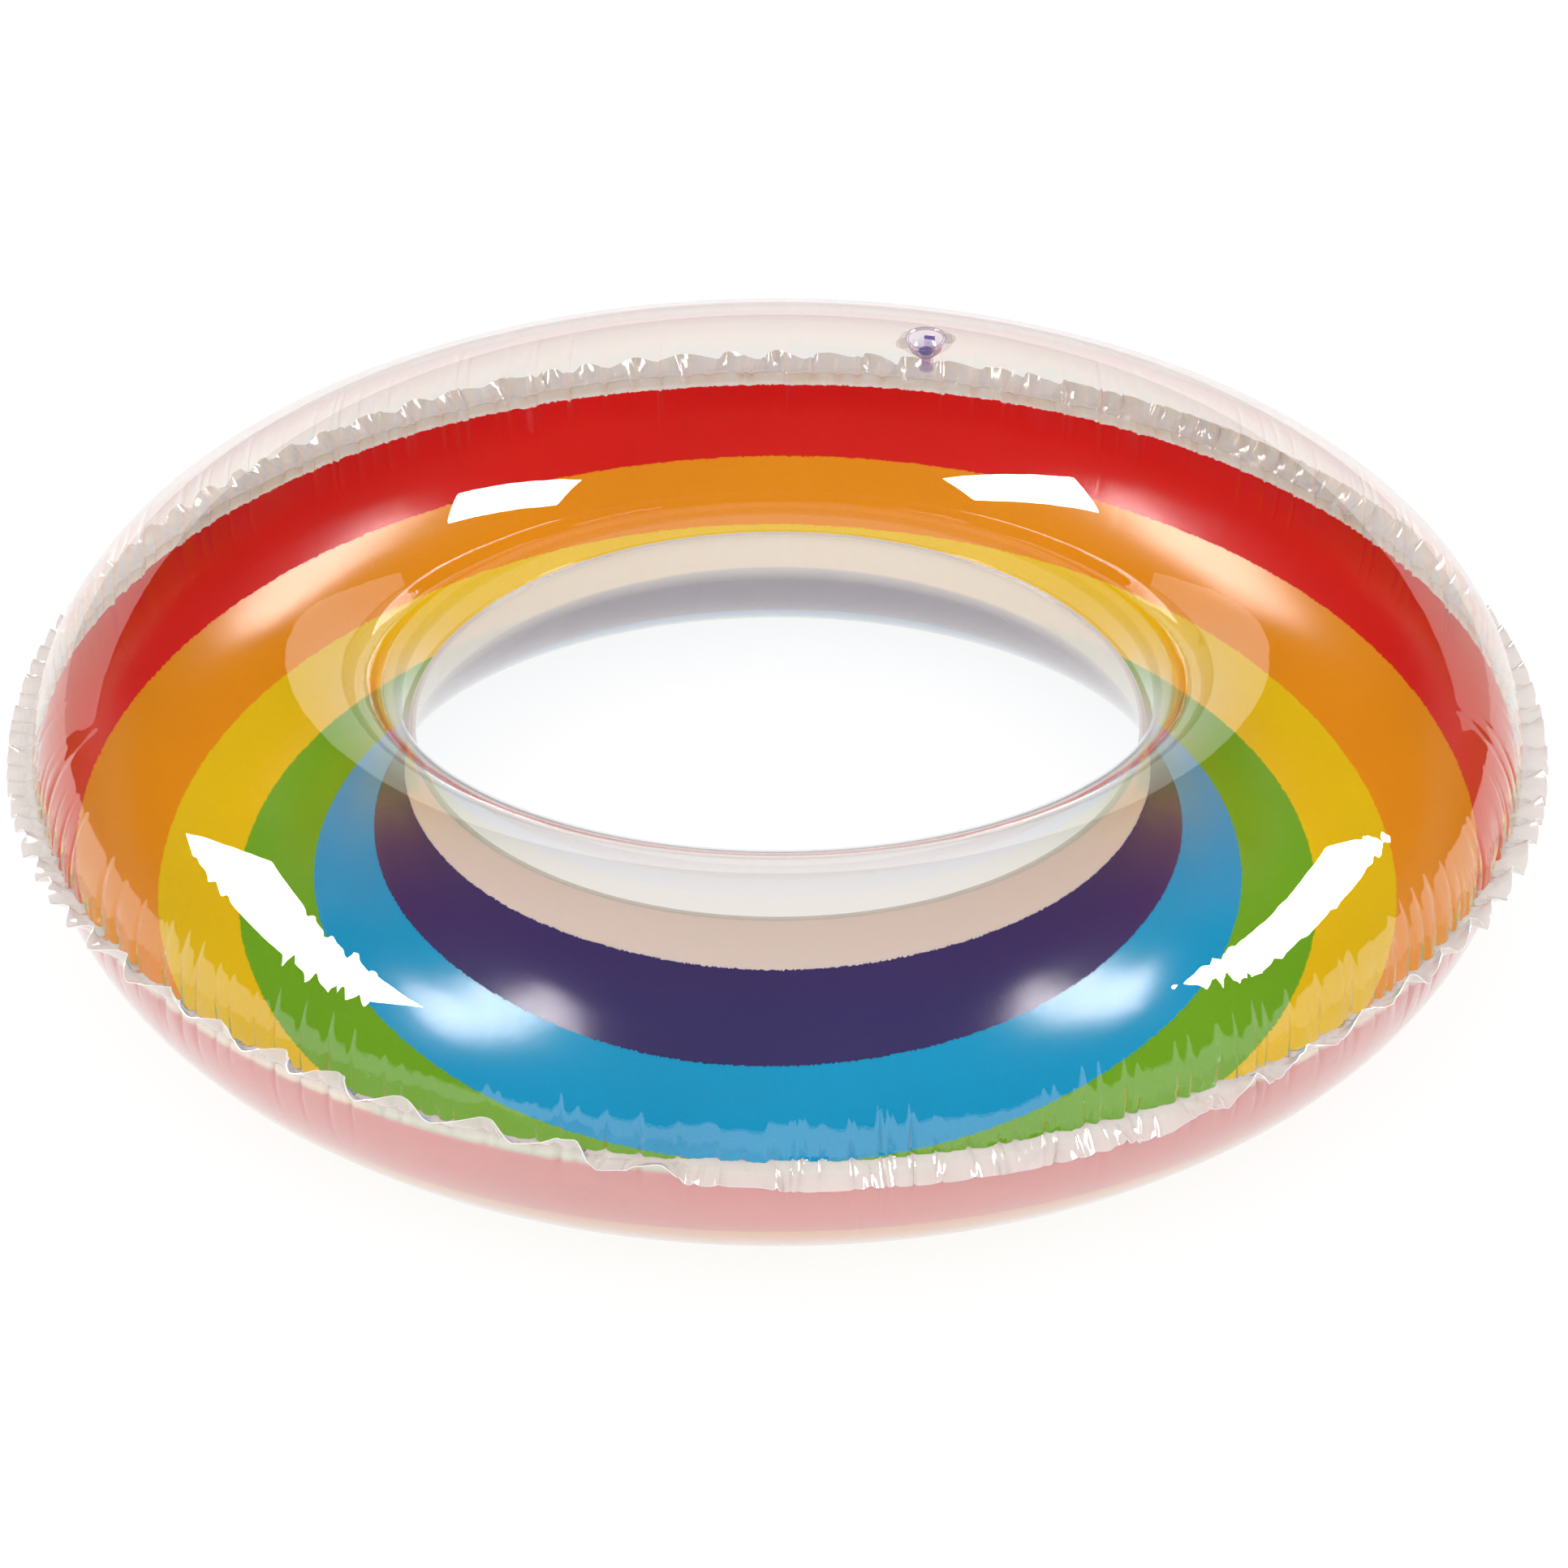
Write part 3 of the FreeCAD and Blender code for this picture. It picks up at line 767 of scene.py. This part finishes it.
def filmRows(side):
    # Distances along the film, and how many points each row has.
    length = girth[side]
    rows = [(-row, 1) for row in (tube["innerFlange"], *film["innerRows"])]
    edges = [0.0] + [length - band[0] for band in film["bands"][1:]] + [length]
    for start, stop, (_, count, finer) in zip(edges, edges[1:], film["bands"]):
        for step in range(count):
            rows.append((start + (stop - start) * step / count, finer))
    finest = film["bands"][-1][2]
    for step in range(film["flangeRows"]):
        share = (step / (film["flangeRows"] - 1)) ** film["flangeCrowding"]
        rows.append((length + tube["outerFlange"] * share, finest))
    return rows


def creaseFields(side, around, along):
    # What the creases read: the angle round the ring, and the distance from the weld.
    share = film["bottomShare"] if side == "bottom" else 1.0
    short = girth[side] - along
    return {"fromWeld": np.where(short < 0, -film["frillShare"] * short, share * short), "around": around}


def creased(built, material):
    for sizes in (film["folds"], film["puckers"]):
        crease(built, {**sizes, "Film": material})


def filmSheet(name, side, material):
    rows = filmRows(side)
    counts = [film["columns"] * finer for _, finer in rows]
    around = np.concatenate([np.arange(count) * 2 * math.pi / count for count in counts])
    along = np.concatenate([np.full(count, row[0]) for count, row in zip(counts, rows)])
    points = filmPoints(side, around, along)
    coat = film["coat"]
    turn = along / girth[side] * 180
    last = prints["start"] + sum(prints["bands"].values())
    thick = np.where((turn > prints["start"] + 1) & (turn < last - 1), coat["printed"], coat["margin"])
    extras = creaseFields(side, around, along)
    extras["coat"] = np.where(along > girth[side] + 0.1 * mm, coat["frill"], thick)
    built = meshObject(name, points, ringFaces(counts, side == "bottom"), material, extras)
    creased(built, material)
    return built


# The valve, in its own frame: radius from its axis, and height above the film.

valve = {
    "radius": 250.97 * mm,   # where its axis meets the film
    "azimuth": 72.5,
    "height": 163.87 * mm,
    "tilt": 6.5,             # towards the middle of the ring
    "opening": 9.7 * mm,
    "punch": {"corners": 96, "reach": 7 * mm},
    "filmBends": (97.4, 251),        # across the tube and round the ring there, mm
    "segments": 72,
    "bevel": 0.12,
    "cupEnds": (0.6, 8.3),   # how far down the cup starts and stops giving way
    "rim": [(8.9, 0.1), (9.3, 0.75), (9.9, 0.95), (10.4, 0.6), (10.4, 0.1), (9.7, -0.6)],
    "beads": [(10.15, 0.55), (8.85, 0.25)],   # the moulded lines of the rim
    "bead": {"radius": 0.30, "corners": 8, "bevel": 0.02},
    "foot": [(9.75, -0.36), (13.4, -0.36), (14.0, -0.5), (13.7, -0.75), (13.0, -0.85), (9.75, -0.85)],
    "lug": {"radius": 4.3, "offset": 11.2, "gauge": 1.2, "turn": 8, "clear": 9.9, "steps": 28},
    "cup": [(9.35, -2.2), (8.75, -4.4), (7.7, -6.4), (6.2, -7.9), (4.75, -8.5), (4.75, -9.3),
            (4.25, -9.3), (4.25, -8.2), (5.9, -7.4), (7.25, -6.0), (8.25, -4.2), (8.85, -2.1)],
    "stem": [(2.34, -9.0), (3.1, -8.35), (4.6, -8.35), (4.6, -9.4), (3.9, -9.9), (3.7, -12.0),
             (3.7, -16.6), (3.45, -17.5), (2.9, -17.8), (2.5, -17.7), (2.34, -17.2)],
    "head": [(0.0, -6.1), (2.4, -6.15), (3.3, -6.5), (3.6, -7.1), (3.5, -7.9), (2.24, -8.2), (0.0, -8.2)],
    "plug": [(0.0, -8.15), (2.24, -8.15), (2.24, -13.6), (1.9, -14.4), (0.0, -14.5)],
    "tab": {"width": 5.6, "height": 5.8, "gauge": 0.9, "turn": 76, "foot": -6.6, "aside": 2.0,
            "lean": 0.6, "bevel": 0.28},
    "lip": {"gauge": 1.7, "height": 1.0},
    "cloud": (0.02, 0.34),   # how milky the cup is, from its rim to its floor
    "depth": 8.5,
}


def valvePlace():
    turn, tilt = math.radians(valve["azimuth"]), math.radians(valve["tilt"])
    axis = Vector((-math.sin(tilt) * math.cos(turn), -math.sin(tilt) * math.sin(turn), math.cos(tilt)))
    place = Vector((valve["radius"] * math.cos(turn), valve["radius"] * math.sin(turn), valve["height"]))
    stand = Vector((0, 0, 1)).rotation_difference(axis).to_matrix().to_4x4()
    return Matrix.Translation(place) @ stand, axis, place


valveFrame, valveAxis, valveOrigin = valvePlace()


def pierced(built):
    # The round opening that the valve sits in.
    corners, reach = valve["punch"].values()
    points = []
    for height in (-reach, reach):
        for step in range(corners):
            angle = step * 2 * math.pi / corners
            across = valve["opening"] * Vector((math.cos(angle), math.sin(angle), 0))
            points.append(valveFrame @ (across + Vector((0, 0, height))))
    faces = [list(range(corners))[::-1], list(range(corners, 2 * corners))]
    for step in range(corners):
        after = (step + 1) % corners
        faces.append([step, after, corners + after, corners + step])
    punch = meshObject("punch", points, faces, films["clear"])
    hole = built.modifiers.new("hole", "BOOLEAN")
    hole.operation = "DIFFERENCE"
    hole.solver = "EXACT"
    hole.object = punch
    applied(built)
    bpy.data.objects.remove(punch)
    return built


def makeFilms():
    top = filmSheet("topFilm", "top", films["clear"])
    bottom = filmSheet("bottomFilm", "bottom", films["milky"])
    for built, node, slot in ((top, "top_sheet", "clear_film"), (bottom, "bottom_sheet", "milky_film")):
        applied(built)
        built.data.materials.append(films["cutEdge"])
        thicken(built, tube["gauge"], 1)
        applied(built)
        if node == "top_sheet":
            pierced(built)
        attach(built, "ring")
        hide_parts(node)


makeFilms()
print("films made")


def printEdge(index, colour, angles, base):
    # The sheet isn't laid quite true: at the sides the bands lie nearer the hole, at the front further out.
    dice = np.random.default_rng(prints["seed"] + index)
    ragged = dice.uniform(-1, 1, len(angles)) * prints["tooth"]
    waves = enumerate(prints["waves"].items(), 1)
    slow = sum(size * np.sin(count * angles + number * index) for number, (count, size) in waves)
    sides = prints["atSides"].get(colour, 0) * mm * np.cos(angles) ** 2
    front = prints["atFront"].get(colour, 0) * mm * np.clip(-np.sin(angles), 0, 1) ** 6
    return base + ragged + slow + sides + front


def makePrints():
    angles = np.arange(prints["columns"]) * 2 * math.pi / prints["columns"]
    turn = prints["start"]
    start = printEdge(0, "", angles, girth["bottom"] * turn / 180)
    for index, (colour, band) in enumerate(prints["bands"].items()):
        turn += band
        stop = printEdge(index + 1, colour, angles, girth["bottom"] * turn / 180)
        share = np.linspace(0, 1, prints["rows"])[:, None]
        along = (start[None, :] * (1 - share) + stop[None, :] * share).ravel()
        around = np.tile(angles, prints["rows"])
        points = filmPoints("bottom", around, along, tube["gauge"] + prints["lap"])
        faces = ringFaces([prints["columns"]] * prints["rows"], True)
        ink = inkMaterial("ink_" + colour, inks[colour])
        fields = creaseFields("bottom", around, along)
        built = meshObject("print_%s_layer" % colour, points, faces, ink, fields)
        creased(built, ink)
        thicken(built, tube["inkGauge"])
        applied(built)
        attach(built, "ring")
        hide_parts("print_" + colour)
        start = stop


makePrints()
print("print laid")


def draped(local):
    # A point in the valve's frame, let down with the film that falls away all round it.
    turn = math.radians(valve["azimuth"])
    outward = local.x * math.cos(turn) + local.y * math.sin(turn)
    sideways = local.y * math.cos(turn) - local.x * math.sin(turn)
    across, along = valve["filmBends"]
    fall = outward ** 2 / (2 * across) + sideways ** 2 / (2 * along)
    return Vector((local.x, local.y, local.z - fall))


def turned(name, profile, material, bevel=valve["bevel"], drape=False):
    # A closed section turned about the valve's axis, its corners eased.
    count = valve["segments"]
    clearest, cloudiest = valve["cloud"]
    points = []
    faces = []
    coat = []
    for step in range(count):
        angle = step * 2 * math.pi / count
        for radius, height in profile:
            coat.append(clearest + (cloudiest - clearest) * min(1, max(0, -height / valve["depth"])) ** 2)
            local = Vector((radius * math.cos(angle), radius * math.sin(angle), height))
            points.append(valveFrame @ ((draped(local) if drape else local) * mm))
    size = len(profile)
    for step in range(count):
        here, after = step * size, (step + 1) % count * size
        for corner in range(size):
            beyond = (corner + 1) % size
            faces.append([here + corner, after + corner, after + beyond, here + beyond])
    built = soundMesh(meshObject(name, points, faces, material, {"coat": coat}))
    return eased(built, bevel * mm, 2, 35)


def footLugs():
    # Two half-round ears under the film, one each side, for pulling the foot through.
    sizes = valve["lug"]
    points = []
    faces = []
    steps = sizes["steps"]
    for side in (0, 180):
        turn = math.radians(sizes["turn"] + side)
        rings = [(0.8, -0.2), (1.0, -0.45), (1.0, -sizes["gauge"]), (0.9, -sizes["gauge"] - 0.25)]
        start = len(points)
        for share, height in rings:
            for step in range(steps):
                angle = step * 2 * math.pi / steps
                reach = sizes["radius"] * share
                across = sizes["offset"] + reach * math.cos(angle)
                local = Matrix.Rotation(turn, 3, "Z") @ Vector((across, reach * math.sin(angle), 0))
                length = max(math.hypot(local.x, local.y), 1e-6)
                local *= max(1, sizes["clear"] / length)
                points.append(valveFrame @ (draped(Vector((local.x, local.y, height))) * mm))
        for ring in range(len(rings) - 1):
            for step in range(steps):
                after = (step + 1) % steps
                low = start + ring * steps
                faces.append([low + step, low + after, low + steps + after, low + steps + step])
        faces.append([start + step for step in range(steps)][::-1])
        faces.append([start + (len(rings) - 1) * steps + step for step in range(steps)])
    return soundMesh(meshObject("valveLugs", points, faces, films["lug"]))


def upright(name, low, high, gauge, material):
    # A flat block across the plug's head, between two heights, leaning back as it rises.
    sizes = valve["tab"]
    half = sizes["width"] / 2
    turn = Matrix.Rotation(math.radians(sizes["turn"]), 4, "Z")
    place = Matrix.Translation((sizes["aside"] * mm, 0, 0)) @ turn
    points = []
    for height in (low, high):
        for along, across in ((-gauge / 2, -half), (gauge / 2, -half), (gauge / 2, half), (-gauge / 2, half)):
            back = Vector((0, sizes["lean"] * (height - sizes["foot"]), 0))
            points.append(valveFrame @ (place @ (Vector((along, across, height)) * mm) + back * mm))
    faces = [(0, 1, 2, 3), (4, 5, 6, 7), (0, 1, 5, 4), (1, 2, 6, 5), (2, 3, 7, 6), (3, 0, 4, 7)]
    return eased(soundMesh(meshObject(name, points, faces, material)), sizes["bevel"] * mm, 3, 50)


def rimBead(number, radius, height):
    # A fine round line moulded on the rim.
    bead = valve["bead"]
    profile = []
    for corner in range(bead["corners"]):
        angle = corner * 2 * math.pi / bead["corners"]
        profile.append((radius + bead["radius"] * math.cos(angle), height + bead["radius"] * math.sin(angle)))
    return turned("rimBead%d" % number, profile, films["bead"], bead["bevel"])


def makeValve():
    cup = turned("valveCup", valve["rim"] + valve["cup"], films["cup"])
    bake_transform(cup)
    foot = turned("valveFootDisc", valve["foot"], films["foot"], drape=True)
    lugs = footLugs()
    stem = turned("valveTube", valve["stem"], films["vinyl"])
    head = turned("plugHead", valve["head"], films["plugVinyl"])
    stopper = turned("plugBody", valve["plug"], films["vinyl"])
    top = valve["tab"]["foot"] + valve["tab"]["height"]
    tab = upright("plugTab", valve["tab"]["foot"], top, valve["tab"]["gauge"], films["vinyl"])
    lip = upright("plugLip", top - valve["lip"]["height"], top, valve["lip"]["gauge"], films["plugVinyl"])
    beads = [rimBead(number, *place) for number, place in enumerate(valve["beads"], 1)]
    bodies = {"ring": [foot, lugs, *beads], "stem": [stem], "plug": [head, stopper, tab, lip]}
    for body, pieces in bodies.items():
        for piece in pieces:
            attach(piece, body)
    for piece, node in ((cup, "valve_web"), (foot, "valve_foot"), (stem, "valve_stem"), (stopper, "plug")):
        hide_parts(node)
    for node in ("plug_strap", "check_flap"):
        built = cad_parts[node]
        built.data.materials.clear()
        built.data.materials.append(films["vinyl"])


makeValve()
print("valve made")
